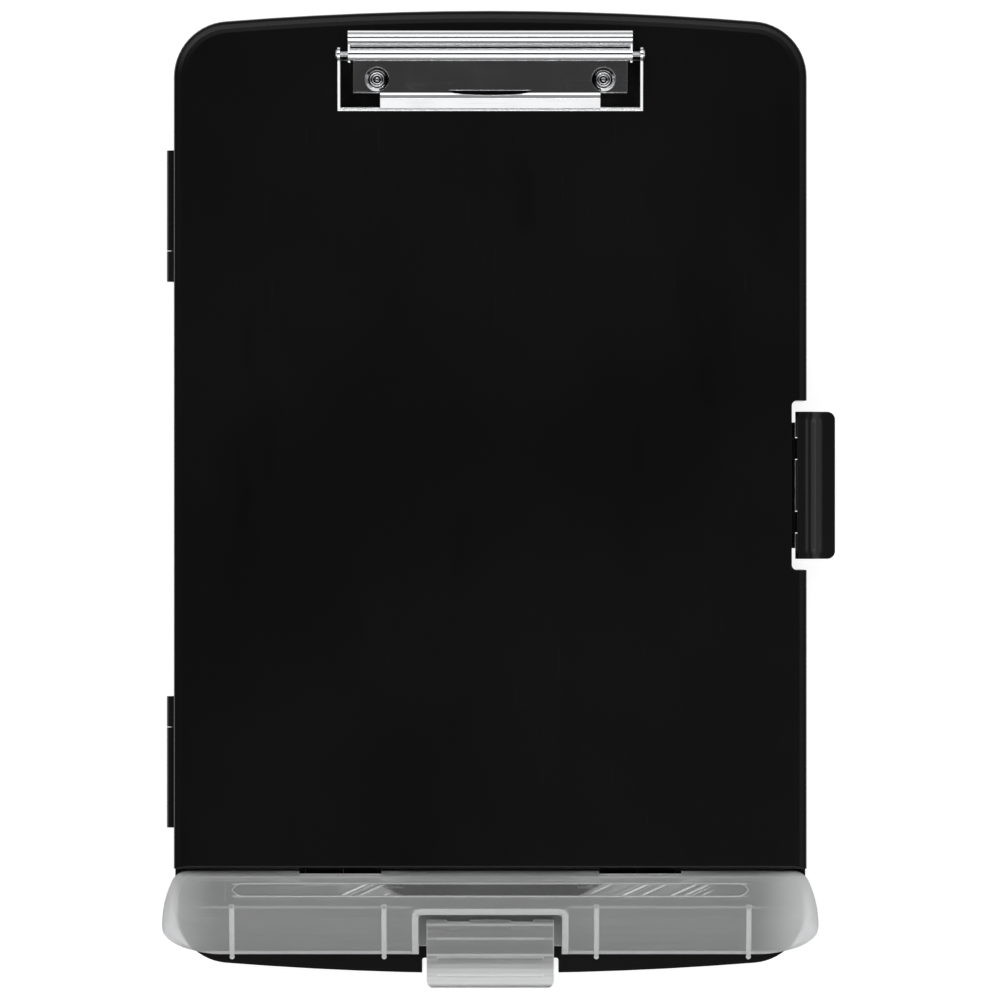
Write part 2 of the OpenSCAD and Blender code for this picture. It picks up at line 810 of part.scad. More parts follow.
// Base plate: a flat sheet with a beaded front edge and two upturned flanges with ears
module clip_base_plate() color(chrome) translate([0, 0, cover_top]) {
    difference() {
        union() {
            translate([-clip_w / 2, plate_front + bead_r, 0])
                cube([clip_w, plate_back - plate_front - bead_r, base_plate_t]);
            bar_x(bead_r, -clip_w / 2, clip_w / 2, plate_front + bead_r, bead_r);
            for (side = [-1, 1])
                translate([side * (clip_w - flange_t) / 2, 0, 0]) along_x(flange_t) flange_profile();
        }
        bar_x(rod_r + pin_gap, -clip_w, clip_w, clip_y, clip_pivot_h);
        for (side = [-1, 1])
            translate([side * rivet_pitch / 2, rivet_y, -1])
                cylinder(r = rivet_r + pin_gap, h = base_plate_t + 2);
    }
}

module flange_profile() {
    polygon([
        [plate_front + bead_r, 0], [plate_front + bead_r, 1.9],
        [clip_y - ear_r, clip_pivot_h + 0.8], [clip_y + ear_r * 0.7, clip_pivot_h],
        [clip_y + ear_r * 0.7, 0]
    ]);
    translate([clip_y, clip_pivot_h]) circle(ear_r, $fn = 48);
}

// Clamp in section, about the pivot: front moves lead to the jaw, back moves to the thumb roll
bend_r = 1.6;
bend_turn = 32;
slope_l = 1.2;
foot_r = 1;
jaw_r = 0.6;
jaw_turn = 3;
jaw_l = 3.5;
valley_r = 1.2;
valley_turn = 55;
lever_l = 3;
roll_turn = 290;
front_moves = [[bend_r, bend_turn], [slope_l], [foot_r, -bend_turn], [jaw_r, jaw_turn], [jaw_l]];
back_moves = [[valley_r, valley_turn], [lever_l], [roll_r, roll_turn]];
shoulder_from = 36;
shoulder_to = 180 - asin(web_rise / shoulder_r);
web_start = shoulder_r * [cos(shoulder_to), sin(shoulder_to)];
web_reach = 14.7;
web_l = web_reach + web_start[0];
web_drop = web_l * sin(web_slope);

module clamp_section() {
    back_start = shoulder_r * [cos(shoulder_from), sin(shoulder_from)];
    intersection() {
        difference() {
            circle(shoulder_r + clamp_t / 2, $fn = 48);
            circle(shoulder_r - clamp_t / 2, $fn = 48);
        }
        slice(shoulder_r + clamp_t, shoulder_from - 0.2, shoulder_to + 0.2);
    }
    sheet_path(web_start, 180 + web_slope, concat([[web_l]], front_moves), clamp_t);
    sheet_path(back_start, shoulder_from - 90, back_moves, clamp_t);
}

// End tab of the clamp, which hangs on the rod beside each flange
module clamp_tab() {
    circle(shoulder_r + clamp_t / 2, $fn = 48);
    polygon([[0, 0.4], [5.8, 0.7], [5.4, 3.4], [0, shoulder_r]]);
}

// Space beside the clamp's middle, from a distance in front of the pivot outwards
module clamp_sides(width, front) {
    for (side = [-1, 1])
        translate([side * (width / 2 + clip_w / 2), -front - far / 2, 0])
            cube([clip_w, far, far], center = true);
}

module clip_clamp() color(chrome) translate([0, clip_y, clip_z]) {
    web_end = web_l - 0.1 - web_start[0];
    difference() {
        union() {
            difference() {
                along_x(clamp_w) clamp_section();
                clamp_sides(web_w, -web_start[0]);
                clamp_sides(jaw_w, web_end);
            }
            for (side = [-1, 1])
                translate([side * (clamp_w - clamp_t) / 2, 0, 0]) along_x(clamp_t) clamp_tab();
        }
        // Round openings that leave the rivets free
        for (side = [-1, 1])
            translate([side * rivet_pitch / 2, rivet_y - clip_y, -1])
                cylinder(r = washer_r, h = 6);
        // Lens-shaped dimple pressed into the bend above the jaw
        translate([0, -far / 2 - web_l + 0.6, web_rise - web_drop + clamp_t / 2 + 299.65])
            rotate([-90, 0, 0]) cylinder(r = 300, h = far / 2 - 2, $fn = 720);
        bar_x(rod_r + pin_gap, -clip_w, clip_w, 0, 0);
    }
}

module clip_pivot_rod() color(steel) translate([0, clip_y, clip_z]) {
    head_t = 0.6;
    bar_x(rod_r, -clip_w / 2 - head_t, clip_w / 2 + head_t, 0, 0);
    for (side = [-1, 1])
        translate([side * (clip_w + head_t) / 2, 0, 0]) rotate([0, 90, 0])
            cylinder(r = rod_r + 0.7, h = head_t, center = true);
}

// Torsion spring on the rod: one unbroken wire, with a leg on the plate and one under the lever
coil_r = rod_r + wire_r + 3 * pin_gap;
coil_pitch = 2 * wire_r + 0.45;
turn_steps = 12;
spring_path = concat(
    [for (s = [9, 4.5]) [0, -s, -coil_r]],
    [for (i = [0:spring_turns * turn_steps])
        let (a = -90 + 360 * i / turn_steps)
        [coil_pitch * i / turn_steps, coil_r * cos(a), coil_r * sin(a)]],
    [for (s = [2.6, 5.2]) [coil_pitch * spring_turns, s, -coil_r + 0.13 * s]]
);

function unit(v) = v / norm(v);
function ring(path, i, r, sides) =
    let (
        last = len(path) - 1,
        along = unit(path[min(i + 1, last)] - path[max(i - 1, 0)]),
        out = unit(cross(along, [1, 0, 0])),
        up = cross(along, out)
    )
    [for (k = [0:sides - 1]) let (a = 360 * k / sides) path[i] + r * (cos(a) * out + sin(a) * up)];

module wire(path, r, sides) {
    count = len(path);
    points = [for (i = [0:count - 1]) each ring(path, i, r, sides)];
    skin = [
        for (i = [0:count - 2], k = [0:sides - 1])
            let (a = i * sides + k, b = i * sides + (k + 1) % sides)
            each [[a, b, b + sides], [a, b + sides, a + sides]]
    ];
    first_cap = [for (k = [1:sides - 2]) [0, k + 1, k]];
    base = (count - 1) * sides;
    last_cap = [for (k = [1:sides - 2]) [base, base + k, base + k + 1]];
    polyhedron(points, concat(skin, first_cap, last_cap));
}

module clip_spring(side) color(steel) {
    length = coil_pitch * spring_turns;
    translate([side * spring_x - length / 2, clip_y, clip_z]) wire(spring_path, wire_r, 6);
}

// Hollow rivet with a rolled head above the washer and a spread tail below the backing washer
backing_t = 0.8;
module clip_rivet(side) color(chrome) {
    head_z = cover_top + base_plate_t + washer_t;
    tail_z = cover_top - cover_t - backing_t;
    tail_l = 0.9;
    head_r = rivet_r + 0.9;
    bore_r = rivet_r - 0.7;
    translate([side * rivet_pitch / 2, rivet_y, 0]) {
        difference() {
            union() {
                translate([0, 0, tail_z - eps]) cylinder(r = rivet_r, h = head_z - tail_z + 2 * eps);
                translate([0, 0, head_z]) cylinder(r = head_r - 0.45, h = 0.9);
                translate([0, 0, head_z + 0.45]) rotate_extrude()
                    translate([head_r - 0.45, 0]) circle(0.45, $fn = 24);
                translate([0, 0, tail_z - tail_l]) cylinder(r1 = rivet_r, r2 = head_r, h = tail_l);
            }
            translate([0, 0, head_z - 0.5]) cylinder(r = bore_r + 0.5, h = 3);
            translate([0, 0, tail_z - 3]) cylinder(r = bore_r, h = head_z - tail_z + 1.8);
        }
        translate([0, 0, head_z - 1.4]) cylinder(r = bore_r + 0.1, h = 0.9);
        translate([0, 0, head_z - 0.7]) cylinder(r = 0.6, h = 0.9, $fn = 24);
    }
}

// Domed washer under the rivet's head
module clip_washer(side) color(chrome) {
    translate([side * rivet_pitch / 2, rivet_y, cover_top + base_plate_t]) rotate_extrude()
        polygon([
            [rivet_r + pin_gap, 0], [washer_r, 0], [washer_r, 0.25],
            [washer_r - 1.1, washer_t], [rivet_r + pin_gap, washer_t]
        ]);
}

module clip_backing_washer(side) color(steel)
    translate([side * rivet_pitch / 2, rivet_y, cover_top - cover_t - backing_t])
        difference() {
            cylinder(r = 5, h = backing_t);
            translate([0, 0, -1]) cylinder(r = rivet_r + pin_gap, h = backing_t + 2);
        }

// ---------- what is drawn ----------

base_tray();
cover();
cover_pin(upper_hinge_y);  // cover_pin_upper
cover_pin(lower_hinge_y);  // cover_pin_lower
side_latch();
side_latch_pin();
pen_lid();
pen_lid_pin(-1);  // pen_lid_pin_left
pen_lid_pin(1);  // pen_lid_pin_right
pen_latch();
pen_latch_pin();
clip_base_plate();
clip_clamp();
clip_pivot_rod();
clip_spring(-1);  // clip_spring_left
clip_spring(1);  // clip_spring_right
clip_rivet(-1);  // clip_rivet_left
clip_rivet(1);  // clip_rivet_right
clip_washer(-1);  // clip_washer_left
clip_washer(1);  // clip_washer_right
clip_backing_washer(-1);  // clip_backing_washer_left
clip_backing_washer(1);  // clip_backing_washer_right
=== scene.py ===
import bpy
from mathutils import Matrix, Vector


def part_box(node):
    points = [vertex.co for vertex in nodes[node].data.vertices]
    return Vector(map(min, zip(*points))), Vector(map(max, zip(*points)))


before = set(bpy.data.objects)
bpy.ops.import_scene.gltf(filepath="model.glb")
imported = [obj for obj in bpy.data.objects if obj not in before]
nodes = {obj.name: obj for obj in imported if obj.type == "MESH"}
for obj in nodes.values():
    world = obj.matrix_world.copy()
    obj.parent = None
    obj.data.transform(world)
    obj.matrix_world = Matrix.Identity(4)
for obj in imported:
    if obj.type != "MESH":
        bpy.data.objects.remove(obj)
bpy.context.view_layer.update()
scene = bpy.context.scene

# All lengths and places are in metres, in the frame of the CAD: +Y to the top, +Z to the viewer.

# Linear colours
BLACK_DEEP, BLACK_SOFT = (0.0016, 0.0016, 0.0017), (0.003, 0.003, 0.0032)
# Colour of the painted highlight lines on the side latch's barrel and ribs
BLACK_HIGHLIGHT_LINE = (0.05, 0.05, 0.052)
FROST_DIM, FROST_BRIGHT = (0.78, 0.785, 0.79), (0.88, 0.885, 0.89)
FROST_WHITE = (0.93, 0.935, 0.94)
FROST_IN_SHADE = (0.2, 0.2, 0.205)
CHROME_DULL, CHROME_BRIGHT = (0.76, 0.765, 0.78), (0.82, 0.825, 0.835)
STEEL_DULL, STEEL_BRIGHT = (0.42, 0.425, 0.44), (0.56, 0.565, 0.575)

PLASTIC_IOR = 1.49
SATIN_SPECULAR = 0.24
FADE = 0.0003  # soft edge of a whitish mark

# ---------- node helpers ----------


def material(name):
    """New material with a Principled shader on its output."""
    mat = bpy.data.materials.new(name)
    mat.use_nodes = True
    tree = mat.node_tree
    tree.nodes.clear()
    out = tree.nodes.new("ShaderNodeOutputMaterial")
    shader = tree.nodes.new("ShaderNodeBsdfPrincipled")
    tree.links.new(shader.outputs[0], out.inputs[0])
    return mat, tree, shader


def position(tree, scale=(1, 1, 1)):
    """Object coordinates in metres, stretched by a scale."""
    place = tree.nodes.new("ShaderNodeTexCoord")
    mapping = tree.nodes.new("ShaderNodeMapping")
    mapping.inputs["Scale"].default_value = scale
    tree.links.new(place.outputs["Object"], mapping.inputs["Vector"])
    return mapping.outputs["Vector"]


def separate(tree, vector):
    """The x, y and z of a vector."""
    node = tree.nodes.new("ShaderNodeSeparateXYZ")
    tree.links.new(vector, node.inputs[0])
    return node.outputs


def noise(tree, vector, scale, detail, rough):
    node = tree.nodes.new("ShaderNodeTexNoise")
    node.inputs["Scale"].default_value = scale
    node.inputs["Detail"].default_value = detail
    node.inputs["Roughness"].default_value = rough
    tree.links.new(vector, node.inputs["Vector"])
    return node.outputs["Fac"]


def calc(tree, kind, a, b=0):
    """One step of arithmetic on numbers or sockets."""
    node = tree.nodes.new("ShaderNodeMath")
    node.operation = kind
    for i, value in enumerate((a, b)):
        if isinstance(value, (int, float)):
            node.inputs[i].default_value = value
        else:
            tree.links.new(value, node.inputs[i])
    return node.outputs[0]


def strongest(tree, first, *others):
    """The highest of some values."""
    for value in others:
        first = calc(tree, "MAXIMUM", first, value)
    return first


def spread(tree, value, low, high, to_low, to_high):
    """Straight ramp from to_low at low to to_high at high."""
    node = tree.nodes.new("ShaderNodeMapRange")
    ends = {"From Min": low, "From Max": high, "To Min": to_low, "To Max": to_high}
    for name, number in ends.items():
        node.inputs[name].default_value = number
    tree.links.new(value, node.inputs["Value"])
    return node.outputs["Result"]


def smooth(tree, value, low, high, top=1.0):
    """Smooth step from 0 at low to top at high."""
    result = spread(tree, value, low, high, 0.0, top)
    result.node.interpolation_type = "SMOOTHSTEP"
    return result


def band(tree, value, middle, half, fade=FADE):
    """1 within half of the middle, falling to 0 over the fade."""
    off = calc(tree, "ABSOLUTE", calc(tree, "SUBTRACT", value, middle))
    return smooth(tree, off, half + fade, half)


def blend(tree, amount, low, high):
    """Mix of two colours, each a tuple or a socket."""
    node = tree.nodes.new("ShaderNodeMix")
    node.data_type = "RGBA"
    tree.links.new(amount, node.inputs[0])
    for i, colour in ((6, low), (7, high)):
        if isinstance(colour, tuple):
            node.inputs[i].default_value = (*colour, 1)
        else:
            tree.links.new(colour, node.inputs[i])
    return node.outputs[2]


def bump(tree, shader, height, distance, strength, radius=0.0):
    """Bump from a height, over a softened edge normal where a radius is given."""
    node = tree.nodes.new("ShaderNodeBump")
    node.inputs["Strength"].default_value = strength
    node.inputs["Distance"].default_value = distance
    tree.links.new(height, node.inputs["Height"])
    if radius:
        soft = tree.nodes.new("ShaderNodeBevel")
        soft.samples = 6
        soft.inputs["Radius"].default_value = radius
        tree.links.new(soft.outputs["Normal"], node.inputs["Normal"])
    tree.links.new(node.outputs["Normal"], shader.inputs["Normal"])


def edges(tree, radius, gain):
    """1 along corners and creases, 0 on open faces."""
    soft = tree.nodes.new("ShaderNodeBevel")
    soft.samples = 8
    soft.inputs["Radius"].default_value = radius
    face = tree.nodes.new("ShaderNodeNewGeometry")
    dot = tree.nodes.new("ShaderNodeVectorMath")
    dot.operation = "DOT_PRODUCT"
    tree.links.new(soft.outputs["Normal"], dot.inputs[0])
    tree.links.new(face.outputs["Normal"], dot.inputs[1])
    return spread(tree, dot.outputs["Value"], 1.0, 1.0 - gain, 0.0, 1.0)


# ---------- black plastic ----------


def highlight_lines(tree, here, lines, middle_y, half_y):
    """Painted highlight lines along Y, on the latch's barrel and ribs: x, half width and strength
    of each.
    """
    x, y, _ = separate(tree, here)
    highlit = 0.0
    for middle, half, amount in lines:
        line = calc(tree, "MULTIPLY", band(tree, x, middle, half, 0.00035), amount)
        highlit = strongest(tree, highlit, line)
    return calc(tree, "MULTIPLY", highlit, band(tree, y, middle_y, half_y, 0.002))


def black_plastic(name, rough, radius, lines=()):
    """Moulded satin black: fine spark-eroded grain, slow sheen changes, faint rubbed marks in the
    roughness and, where lines are given, painted highlight lines.
    """
    mat, tree, shader = material(name)
    here = position(tree)
    grain = noise(tree, here, 2600, 2.0, 0.6)
    cloud = noise(tree, here, 9, 2.0, 0.5)
    smear = noise(tree, position(tree, (60, 11, 60)), 1.0, 5.0, 0.65)
    scratch = noise(tree, position(tree, (900, 35, 900)), 1.0, 2.0, 0.5)
    marks = spread(tree, scratch, 0.68, 0.74, 0.0, 1.0)
    total = calc(tree, "ADD", spread(tree, cloud, 0.3, 0.7, -0.02, 0.02), rough)
    total = calc(tree, "ADD", total, spread(tree, smear, 0.55, 0.75, 0.0, -0.03))
    total = calc(tree, "ADD", total, calc(tree, "MULTIPLY", marks, 0.02))
    tree.links.new(total, shader.inputs["Roughness"])
    body = blend(tree, cloud, BLACK_DEEP, BLACK_SOFT)
    if lines:
        # Painted highlights: lighter lines along the side latch's barrel and ribs
        highlit = highlight_lines(tree, here, lines, SIDE_LATCH_Y, SIDE_LATCH_HALF)
        body = blend(tree, highlit, body, BLACK_HIGHLIGHT_LINE)
    tree.links.new(body, shader.inputs["Base Color"])
    shader.inputs["IOR"].default_value = PLASTIC_IOR
    shader.inputs["Specular IOR Level"].default_value = SATIN_SPECULAR
    height = calc(tree, "ADD", grain, calc(tree, "MULTIPLY", marks, -0.12))
    bump(tree, shader, height, 0.00002, 0.3, radius)
    return mat


# ---------- frosted plastic ----------


def frosted_plastic(name, light):
    """Translucent plastic with a matt moulded skin: its tree, whitish edges (painted edge
    highlights, with some of the plastic's own whitening), body and roughness.
    """
    mat, tree, shader = material(name)
    here = position(tree)
    grain = noise(tree, here, 1900, 3.0, 0.6)
    cloud = noise(tree, here, 45, 3.0, 0.5)
    flow = noise(tree, position(tree, (18, 120, 60)), 1.0, 4.0, 0.6)
    # Painted highlight along corners and creases, with some of the frosted plastic's own whitening
    white = edges(tree, 0.0006, 0.1)
    dim, bright = (tuple(light * c for c in colour) for colour in (FROST_DIM, FROST_BRIGHT))
    body = blend(tree, flow, dim, bright)
    rough = spread(tree, cloud, 0.3, 0.7, 0.4, 0.5)
    shader.inputs["IOR"].default_value = PLASTIC_IOR
    bump(tree, shader, grain, 0.00003, 0.5, 0.0003)
    return mat, tree, shader, white, body, rough


def finish_frosted(tree, shader, white, body, rough):
    """Joins the whitish places, painted highlights and painted light among them, which let less
    light through, to the body.
    """
    tree.links.new(blend(tree, white, body, FROST_WHITE), shader.inputs["Base Color"])
    clear = spread(tree, white, 0.0, 1.0, 0.8, 0.35)
    tree.links.new(clear, shader.inputs["Transmission Weight"])
    tree.links.new(rough, shader.inputs["Roughness"])


def lid_lines_and_highlights(tree, y, side):
    """Whitish lines over the ribs and pocket rim, and painted highlights along the creases and
    groove outline of the lid.
    """
    ribs = strongest(tree, *(band(tree, side, at, 0.0007) for at in LID_RIB_SIDES))
    ribs = calc(tree, "MULTIPLY", ribs, smooth(tree, y, -0.1572, -0.1585))
    rim = band(tree, side, POCKET_SIDE, 0.0010)
    rim = calc(tree, "MULTIPLY", rim, smooth(tree, y, -0.1588, -0.1602))
    back = band(tree, y, POCKET_BACK, 0.0008)
    back = calc(tree, "MULTIPLY", back, smooth(tree, side, POCKET_SIDE + 0.001, POCKET_SIDE))
    marks = calc(tree, "MULTIPLY", strongest(tree, ribs, rim, back), 0.75)
    outside = smooth(tree, side, 0.029, 0.031)
    # Painted highlights along the creases
    for middle, half, amount in LID_CREASES:
        crease = calc(tree, "MULTIPLY", band(tree, y, middle, half), amount)
        marks = strongest(tree, marks, calc(tree, "MULTIPLY", crease, outside))
    # Painted highlight along the groove's outline
    outline = strongest(tree, *(band(tree, y, at, 0.0002, 0.0002) for at in GROOVE_SIDES))
    reach = calc(tree, "MULTIPLY", smooth(tree, side, *GROOVE_ENDS), 0.45)
    return strongest(tree, marks, calc(tree, "MULTIPLY", outline, reach))


def groove_floor(tree, x, y, side):
    """The groove's slant-ended middle, where shade is painted, and the painted glint streaks beside
    it.
    """
    groove = band(tree, y, GROOVE_Y, GROOVE_HALF, 0.0002)
    groove = calc(tree, "MULTIPLY", groove, smooth(tree, side, *GROOVE_ENDS))
    # Painted glints: bright slanted streaks on the groove's floor, left and right of its middle
    lean = calc(tree, "MULTIPLY", y, STREAK_LEAN)
    across = tree.nodes.new("ShaderNodeCombineXYZ")
    tree.links.new(calc(tree, "SUBTRACT", x, lean), across.inputs[0])
    glint_streaks = smooth(tree, noise(tree, across.outputs[0], 430, 0.6, 0.4), 0.44, 0.66)
    left = band(tree, x, -0.0475, 0.008, 0.003)
    right = band(tree, x, 0.061, 0.02, 0.006)
    glint = calc(tree, "MULTIPLY", strongest(tree, left, right), glint_streaks)
    glint = calc(tree, "MULTIPLY", glint, groove)
    # Painted shade: the groove's dark middle, standing in for the black beneath seen through it
    middle = smooth(tree, calc(tree, "SUBTRACT", side, lean), 0.372, 0.369)
    return calc(tree, "MULTIPLY", middle, groove), glint


def frosted_lid_plastic():
    """The lid: whitish lines, painted highlights, painted light at its ends, and a glossier groove
    with painted shade and painted glint streaks.
    """
    mat, tree, shader, white, body, rough = frosted_plastic("frosted_lid", 0.98)
    x, y, _ = separate(tree, position(tree))
    side = calc(tree, "ABSOLUTE", x)
    middle, glint = groove_floor(tree, x, y, side)
    # Painted light: the overhanging ends made whiter, standing in for the pale floor seen through
    # them
    lit_right_end = smooth(tree, x, 0.098, 0.124, 0.75)
    lit_left_end = smooth(tree, x, -0.102, -0.124, 0.4)
    ends = calc(tree, "ADD", lit_right_end, lit_left_end)
    whole = strongest(tree, white, lid_lines_and_highlights(tree, y, side), glint, ends)
    gloss = calc(tree, "MULTIPLY", strongest(tree, middle, glint), 0.28)
    rough = calc(tree, "SUBTRACT", rough, gloss)
    # Painted shade in the groove's middle, standing in for the black tray seen through it
    body = blend(tree, calc(tree, "MULTIPLY", middle, 0.6), body, FROST_IN_SHADE)
    finish_frosted(tree, shader, whole, body, rough)
    return mat


def frosted_latch_plastic():
    """The pen lid's latch: painted highlights along its steps, finger ribs and tip."""
    mat, tree, shader, white, body, rough = frosted_plastic("frosted_latch", 0.86)
    _, y, _ = separate(tree, position(tree))
    # Painted highlight lines across the latch's steps, ribs and tip
    for middle, half, amount in PEN_LATCH_LINES:
        line = calc(tree, "MULTIPLY", band(tree, y, middle, half), amount)
        white = strongest(tree, white, line)
    finish_frosted(tree, shader, white, body, rough)
    return mat


# ---------- metals ----------


def plated(name, rough, radius, wave):
    """Bright nickel-chrome plate: a faint orange-peel wave, hairlines and dulled patches."""
    mat, tree, shader = material(name)
    here = position(tree)
    peel = noise(tree, here, 260, 2.0, 0.4)
    hair = noise(tree, position(tree, (25, 1600, 1600)), 1.0, 2.0, 0.5)
    haze = noise(tree, here, 70, 4.0, 0.6)
    total = calc(tree, "ADD", spread(tree, haze, 0.4, 0.75, 0.0, 0.06), rough)
    total = calc(tree, "ADD", total, spread(tree, hair, 0.6, 0.75, 0.0, 0.05))
    tree.links.new(total, shader.inputs["Roughness"])
    tree.links.new(blend(tree, haze, CHROME_DULL, CHROME_BRIGHT), shader.inputs["Base Color"])
    shader.inputs["Metallic"].default_value = 1.0
    height = calc(tree, "ADD", peel, calc(tree, "MULTIPLY", hair, 0.06))
    bump(tree, shader, height, 0.00004, wave, radius)
    return mat


def plain_steel(name, stretch):
    """Drawn steel: fine lines along the wire or pin, duller than the plate."""
    mat, tree, shader = material(name)
    lines = noise(tree, position(tree, stretch), 1.0, 3.0, 0.55)
    spots = noise(tree, position(tree), 900, 3.0, 0.6)
    tree.links.new(spread(tree, spots, 0.3, 0.75, 0.22, 0.38), shader.inputs["Roughness"])
    tree.links.new(blend(tree, spots, STEEL_DULL, STEEL_BRIGHT), shader.inputs["Base Color"])
    shader.inputs["Metallic"].default_value = 1.0
    bump(tree, shader, lines, 0.00003, 0.5)
    return mat


# ---------- places of the marks, and the materials on the pieces ----------

# Side latch: middle and half length in Y, then x, half width and strength of each painted highlight
# line
SIDE_LATCH_Y, SIDE_LATCH_HALF = 0.0029, 0.0243
SIDE_LATCH_LINES = (
    (0.1165, 0.0003, 0.5), (0.1202, 0.0003, 0.5), (0.1229, 0.0008, 0.65), (0.1256, 0.0004, 0.5),
)
# Pen lid: ribs, the latch's pocket, then y, half width and strength of the painted highlight along
# each crease, which are the second step, the edge of the flat top and the front edge
LID_RIB_SIDES = (0.0983, 0.0404)
POCKET_SIDE, POCKET_BACK = 0.0286, -0.1593
LID_CREASES = ((-0.1461, 0.0002, 0.25), (-0.1575, 0.0004, 0.22), (-0.1749, 0.0003, 0.6))
# Groove in the lid's top: its middle and half width, painted highlight outline, fade at its ends
# and lean of painted glint streaks
GROOVE_Y, GROOVE_HALF = -0.1509, 0.0021
GROOVE_SIDES = (-0.1487, -0.1534)
GROOVE_ENDS = (0.0985, 0.0975)
STREAK_LEAN = 2.2
# Pen latch: y, half width and strength of the painted highlight lines on its steps, ribs and tip
PEN_LATCH_LINES = (
    (-0.1621, 0.0003, 0.5), (-0.1642, 0.0002, 0.35), (-0.1695, 0.0002, 0.4),
    (-0.1757, 0.0003, 0.55), (-0.1806, 0.0013, 0.35), (-0.1832, 0.0002, 0.5),
    (-0.1848, 0.0002, 0.4), (-0.1866, 0.0003, 0.35),
)

clip_plate = plated("chrome_sheet", 0.04, 0.00015, 0.06)
rivet_plate = plated("chrome_rivets", 0.06, 0.0004, 1.0)
steel_x = plain_steel("steel_along_x", (40, 2400, 2400))
steel_y = plain_steel("steel_along_y", (2400, 40, 2400))
steel_spring = plain_steel("steel_spring_wire", (700, 700, 700))

finish = {
    "cover": black_plastic("satin_black_cover", 0.25, 0.0004),
    "base_tray": black_plastic("satin_black_tray", 0.3, 0.0004),
    "side_latch": black_plastic("satin_black_latch", 0.3, 0.0003, SIDE_LATCH_LINES),
    "pen_lid": frosted_lid_plastic(),
    "pen_latch": frosted_latch_plastic(),
    "clip_base_plate": clip_plate, "clip_clamp": clip_plate,
    "clip_rivet_left": rivet_plate, "clip_rivet_right": rivet_plate,
    "clip_washer_left": rivet_plate, "clip_washer_right": rivet_plate,
    "clip_backing_washer_left": steel_x, "clip_backing_washer_right": steel_x,
    "clip_pivot_rod": steel_x, "pen_lid_pin_left": steel_x, "pen_lid_pin_right": steel_x,
    "pen_latch_pin": steel_x, "side_latch_pin": steel_y,
    "cover_pin_upper": steel_y, "cover_pin_lower": steel_y,
    "clip_spring_left": steel_spring, "clip_spring_right": steel_spring,
}
for name, mat in finish.items():
    piece = nodes[name]
    if not piece.material_slots:
        piece.data.materials.append(mat)
    for slot in piece.material_slots:
        slot.material = mat

# ---------- fuller front corners for the lid ----------

CORNER_FROM_SIDE, CORNER_FROM_Y = 0.1, -0.16  # the part of the lid that gets finer faces
SWELL_BACK, SWELL_FRONT, SWELL_MOST = -0.1655, -0.176, 0.004
# Share of the way from SWELL_BACK to SWELL_FRONT, and share of SWELL_MOST to push out there
SWELL = (
    (0.0, 0.0), (0.22, 0.17), (0.36, 0.5), (0.5, 0.78),
    (0.65, 0.88), (0.8, 0.55), (0.905, 0.34), (1.0, 0.0),
)


def fuller_corners(piece):
    """Swells the lid's two front corners sideways, by about 3.5 mm, to their rounder outline."""
    group = bpy.data.node_groups.new("fuller_corners", "GeometryNodeTree")
    for way in ("INPUT", "OUTPUT"):
        group.interface.new_socket("Geometry", in_out=way, socket_type="NodeSocketGeometry")
    source = group.nodes.new("NodeGroupInput").outputs[0]
    x, y, _ = separate(group, group.nodes.new("GeometryNodeInputPosition").outputs[0])
    side = calc(group, "ABSOLUTE", x)
    # The corners are cut off the rest and subdivided, so that they can take a curve
    wide = calc(group, "GREATER_THAN", side, CORNER_FROM_SIDE)
    front = calc(group, "LESS_THAN", y, CORNER_FROM_Y)
    split = group.nodes.new("GeometryNodeSeparateGeometry")
    split.domain = "FACE"
    group.links.new(source, split.inputs["Geometry"])
    group.links.new(calc(group, "MULTIPLY", wide, front), split.inputs["Selection"])
    finer = group.nodes.new("GeometryNodeSubdivideMesh")
    finer.inputs["Level"].default_value = 2
    group.links.new(split.outputs["Selection"], finer.inputs["Mesh"])
    whole = group.nodes.new("GeometryNodeJoinGeometry")
    group.links.new(finer.outputs[0], whole.inputs[0])
    group.links.new(split.outputs["Inverted"], whole.inputs[0])
    # Each point moves outwards by the swell at its y, fading in with its distance from the middle
    curve = group.nodes.new("ShaderNodeFloatCurve")
    path = curve.mapping.curves[0].points
    for spot in SWELL[1:-1]:
        path.new(*spot)
    path[0].location = SWELL[0]
    path[-1].location = SWELL[-1]
    curve.mapping.update()
    along = spread(group, y, SWELL_BACK, SWELL_FRONT, 0.0, 1.0)
    group.links.new(along, curve.inputs["Value"])
    reach = smooth(group, side, CORNER_FROM_SIDE, 0.112, SWELL_MOST)
    push = calc(group, "MULTIPLY", curve.outputs[0], reach)
    push = calc(group, "MULTIPLY", push, calc(group, "SIGN", x))
    shift = group.nodes.new("ShaderNodeCombineXYZ")
    group.links.new(push, shift.inputs[0])
    move = group.nodes.new("GeometryNodeSetPosition")
    group.links.new(whole.outputs[0], move.inputs["Geometry"])
    group.links.new(shift.outputs[0], move.inputs["Offset"])
    group.links.new(move.outputs[0], group.nodes.new("NodeGroupOutput").inputs[0])
    piece.modifiers.new("fuller_corners", "NODES").node_group = group


fuller_corners(nodes["pen_lid"])

# ---------- floor ----------

bpy.ops.mesh.primitive_plane_add(size=6, location=(0, 0, -0.0003))
floor = bpy.context.object
floor.name = "floor"
mat, tree, shader = material("pale_floor")
shader.inputs["Base Color"].default_value = (0.8, 0.8, 0.8, 1)
shader.inputs["Roughness"].default_value = 0.9
out = tree.nodes["Material Output"]
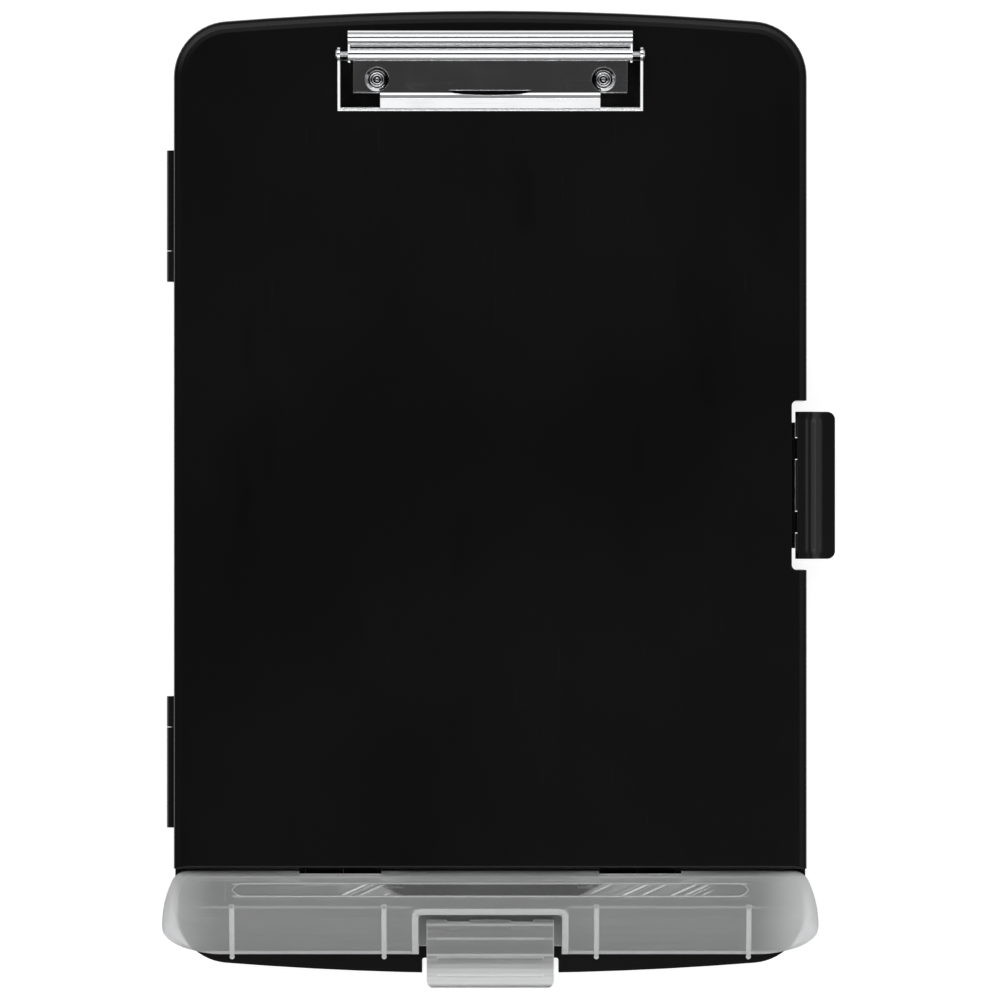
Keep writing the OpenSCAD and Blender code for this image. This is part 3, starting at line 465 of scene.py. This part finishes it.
# Seen directly, mirrored or through the frosted plastic, it is near white and keeps its shadows
seen = tree.nodes.new("ShaderNodeAddShader")
glow = tree.nodes.new("ShaderNodeEmission")
glow.inputs["Strength"].default_value = 0.87
matt = tree.nodes.new("ShaderNodeBsdfDiffuse")
matt.inputs["Color"].default_value = (0.3, 0.3, 0.3, 1)
tree.links.new(glow.outputs[0], seen.inputs[0])
tree.links.new(matt.outputs[0], seen.inputs[1])
path = tree.nodes.new("ShaderNodeLightPath")
rays = ("Is Camera Ray", "Is Glossy Ray", "Is Transmission Ray")
direct = strongest(tree, *(path.outputs[ray] for ray in rays))
choose = tree.nodes.new("ShaderNodeMixShader")
tree.links.new(direct, choose.inputs[0])
tree.links.new(shader.outputs[0], choose.inputs[1])
tree.links.new(seen.outputs[0], choose.inputs[2])
tree.links.new(choose.outputs[0], out.inputs[0])
floor.data.materials.append(mat)

# ---------- world and lamps ----------

world = bpy.data.worlds.new("studio")
world.use_nodes = True
scene.world = world
tree = world.node_tree
sky = tree.nodes["Background"]
place = tree.nodes.new("ShaderNodeTexCoord")
right, away, up = separate(tree, place.outputs["Generated"])
near = calc(tree, "MULTIPLY", away, -1)
# A dark opening overhead between two bright ceilings, with dimmer walls
ceiling = strongest(
    tree,
    smooth(tree, away, 0.16, 0.3),
    smooth(tree, near, 0.14, 0.2),
    smooth(tree, right, 0.4, 0.65, 0.7),
    smooth(tree, right, -0.5, -0.75, 0.35),
)
ceiling = calc(tree, "MULTIPLY", ceiling, spread(tree, up, 0.35, 0.8, 0.3, 1.2))
haze = calc(tree, "ADD", smooth(tree, near, 0.01, 0.06, 0.042), 0.003)
tree.links.new(strongest(tree, ceiling, haze), sky.inputs["Strength"])
sky.inputs["Color"].default_value = (1, 1, 1, 1)


def softbox(name, place, aim, size, power):
    """Rectangular lamp that faces a point."""
    light = bpy.data.lights.new(name, "AREA")
    light.shape = "RECTANGLE"
    light.size, light.size_y = size
    light.energy = power
    lamp = bpy.data.objects.new(name, light)
    scene.collection.objects.link(lamp)
    lamp.location = place
    lamp.rotation_euler = (Vector(aim) - Vector(place)).to_track_quat("-Z", "Y").to_euler()


softbox("key", (-0.9, 1.1, 1.1), (0, 0, 0), (1.4, 1.2), 2.8)
softbox("far_strip", (-0.2, 1.1, 1.9), (0, 0.1, 0), (1.6, 0.14), 5)
softbox("near_strip", (0.3, -1.2, 1.6), (0, 0.1, 0), (1.4, 0.12), 3)

# ---------- camera, straight above the front ----------

CAMERA_HEIGHT = 3.2  # above the cover
FRAME_WIDTH = 0.38  # width of the picture at the cover
SENSOR_WIDTH = 36

cover_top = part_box("cover")[1][2]
camera = bpy.data.objects.new("camera", bpy.data.cameras.new("camera"))
scene.collection.objects.link(camera)
scene.camera = camera
camera.location = (0.0037, -0.0027, cover_top + CAMERA_HEIGHT)
camera.rotation_euler = (0, 0, 0)
camera.data.sensor_width = SENSOR_WIDTH
camera.data.lens = SENSOR_WIDTH * CAMERA_HEIGHT / FRAME_WIDTH
camera.data.clip_start = 0.05
camera.data.clip_end = 20

scene.view_settings.view_transform = "Standard"
